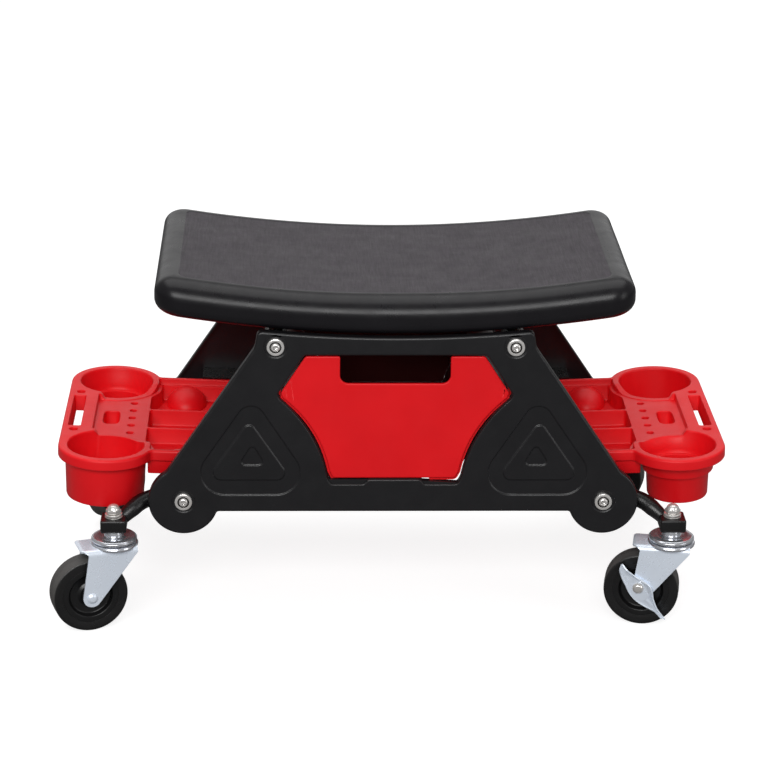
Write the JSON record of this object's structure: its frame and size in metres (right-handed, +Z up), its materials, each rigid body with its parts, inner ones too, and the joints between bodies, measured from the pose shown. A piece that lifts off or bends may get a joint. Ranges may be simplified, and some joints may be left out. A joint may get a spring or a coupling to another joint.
{
  "type": "mechanics creeper",
  "caption": "Rolling mechanic's work seat: saddle seat on two black side panels with a front drawer, sliding tool trays with cup holders at both ends, and swivel casters.",
  "frame": {"origin": "on the floor, midway under the overall box of the whole seat", "axes": "+X along the seat to the right when facing the drawer, -Y towards the drawer's face, +Z up"},
  "size_m": [0.6817, 0.3596, 0.3557],
  "materials": {
    "seat_foam": "matte, finely grained foam with smooth rounded edges",
    "seat_board": "plain plywood, hidden under the cushion",
    "panel_black": "satin moulded black plastic",
    "frame_black": "black powder coat",
    "red_plastic": "red moulded plastic, half gloss",
    "zinc": "bright zinc-plated pressed steel",
    "bolt_zinc": "warm zinc-plated steel",
    "wheel_black": "black moulded wheel centre",
    "tyre_rubber": "dark grey-black solid tread"
  },
  "bodies": {
    "chassis": {"seat_cushion": "seat_foam", "seat_board": "seat_board", "seat_strap_left": "frame_black", "seat_strap_right": "frame_black", "front_panel": "panel_black", "rear_panel": "panel_black", "lower_tie_left": "frame_black", "lower_tie_right": "frame_black", "upper_tie_left": "frame_black", "upper_tie_right": "frame_black", "front_lower_bolt_left": "bolt_zinc", "front_lower_bolt_right": "bolt_zinc", "front_upper_bolt_left": "bolt_zinc", "front_upper_bolt_right": "bolt_zinc", "rear_lower_bolt_left": "bolt_zinc", "rear_lower_bolt_right": "bolt_zinc", "rear_upper_bolt_left": "bolt_zinc", "rear_upper_bolt_right": "bolt_zinc", "tray_rail_front_left": "frame_black", "tray_rail_front_right": "frame_black", "tray_rail_rear_left": "frame_black", "tray_rail_rear_right": "frame_black", "caster_arm_front_left": "frame_black", "caster_stem_front_left": "zinc", "cap_nut_front_left": "bolt_zinc", "caster_arm_front_right": "frame_black", "caster_stem_front_right": "zinc", "cap_nut_front_right": "bolt_zinc", "caster_arm_rear_left": "frame_black", "caster_stem_rear_left": "zinc", "cap_nut_rear_left": "bolt_zinc", "caster_arm_rear_right": "frame_black", "caster_stem_rear_right": "zinc", "cap_nut_rear_right": "bolt_zinc"},
    "drawer": {"drawer": "red_plastic"},
    "tray_left": {"tray_left": "red_plastic"},
    "tray_right": {"tray_right": "red_plastic"},
    "swivel_front_left": {"fork_front_left": "zinc", "axle_front_left": "zinc"},
    "wheel_front_left": {"wheel_front_left": "wheel_black", "tyre_front_left": "tyre_rubber"},
    "swivel_front_right": {"fork_front_right": "zinc", "axle_front_right": "zinc"},
    "wheel_front_right": {"wheel_front_right": "wheel_black", "tyre_front_right": "tyre_rubber"},
    "brake_front_right": {"brake_lever_front_right": "zinc"},
    "swivel_rear_left": {"fork_rear_left": "zinc", "axle_rear_left": "zinc"},
    "wheel_rear_left": {"wheel_rear_left": "wheel_black", "tyre_rear_left": "tyre_rubber"},
    "brake_rear_left": {"brake_lever_rear_left": "zinc"},
    "swivel_rear_right": {"fork_rear_right": "zinc", "axle_rear_right": "zinc"},
    "wheel_rear_right": {"wheel_rear_right": "wheel_black", "tyre_rear_right": "tyre_rubber"}
  },
  "joints": [
    {"name": "drawer_slide", "type": "slide", "parent": "chassis", "child": "drawer", "axis": [0, -1, 0], "range_m": [0, 0.2]},
    {"name": "tray_left_slide", "type": "slide", "parent": "chassis", "child": "tray_left", "axis": [-0.9994, 0, 0.0349], "range_m": [0, 0.09]},
    {"name": "tray_right_slide", "type": "slide", "parent": "chassis", "child": "tray_right", "axis": [0.9994, 0, 0.0349], "range_m": [0, 0.09]},
    {"name": "swivel_front_left_turn", "type": "hinge", "parent": "chassis", "child": "swivel_front_left", "pos_m": [-0.279, -0.15, 0.0865], "axis": [0, 0, 1], "continuous": true},
    {"name": "wheel_front_left_spin", "type": "hinge", "parent": "swivel_front_left", "child": "wheel_front_left", "pos_m": [-0.3053, -0.15804, 0.03792], "axis": [-0.2924, 0.9563, 0], "continuous": true},
    {"name": "swivel_front_right_turn", "type": "hinge", "parent": "chassis", "child": "swivel_front_right", "pos_m": [0.279, -0.15, 0.0865], "axis": [0, 0, 1], "continuous": true},
    {"name": "wheel_front_right_spin", "type": "hinge", "parent": "swivel_front_right", "child": "wheel_front_right", "pos_m": [0.25192, -0.14522, 0.03792], "axis": [0.1736, 0.9848, 0], "continuous": true},
    {"name": "brake_front_right_press", "type": "hinge", "parent": "swivel_front_right", "child": "brake_front_right", "pos_m": [0.25192, -0.14522, 0.03792], "axis": [-0.1736, -0.9848, 0], "range_deg": [0, 20]},
    {"name": "swivel_rear_left_turn", "type": "hinge", "parent": "chassis", "child": "swivel_rear_left", "pos_m": [-0.279, 0.15, 0.0865], "axis": [0, 0, 1], "continuous": true},
    {"name": "wheel_rear_left_spin", "type": "hinge", "parent": "swivel_rear_left", "child": "wheel_rear_left", "pos_m": [-0.29477, 0.12747, 0.03792], "axis": [-0.8192, 0.5736, 0], "continuous": true},
    {"name": "brake_rear_left_press", "type": "hinge", "parent": "swivel_rear_left", "child": "brake_rear_left", "pos_m": [-0.29477, 0.12747, 0.03792], "axis": [0.8192, -0.5736, 0], "range_deg": [0, 20]},
    {"name": "swivel_rear_right_turn", "type": "hinge", "parent": "chassis", "child": "swivel_rear_right", "pos_m": [0.279, 0.15, 0.0865], "axis": [0, 0, 1], "continuous": true},
    {"name": "wheel_rear_right_spin", "type": "hinge", "parent": "swivel_rear_right", "child": "wheel_rear_right", "pos_m": [0.2527, 0.15804, 0.03792], "axis": [0.2924, 0.9563, 0], "continuous": true}
  ]
}
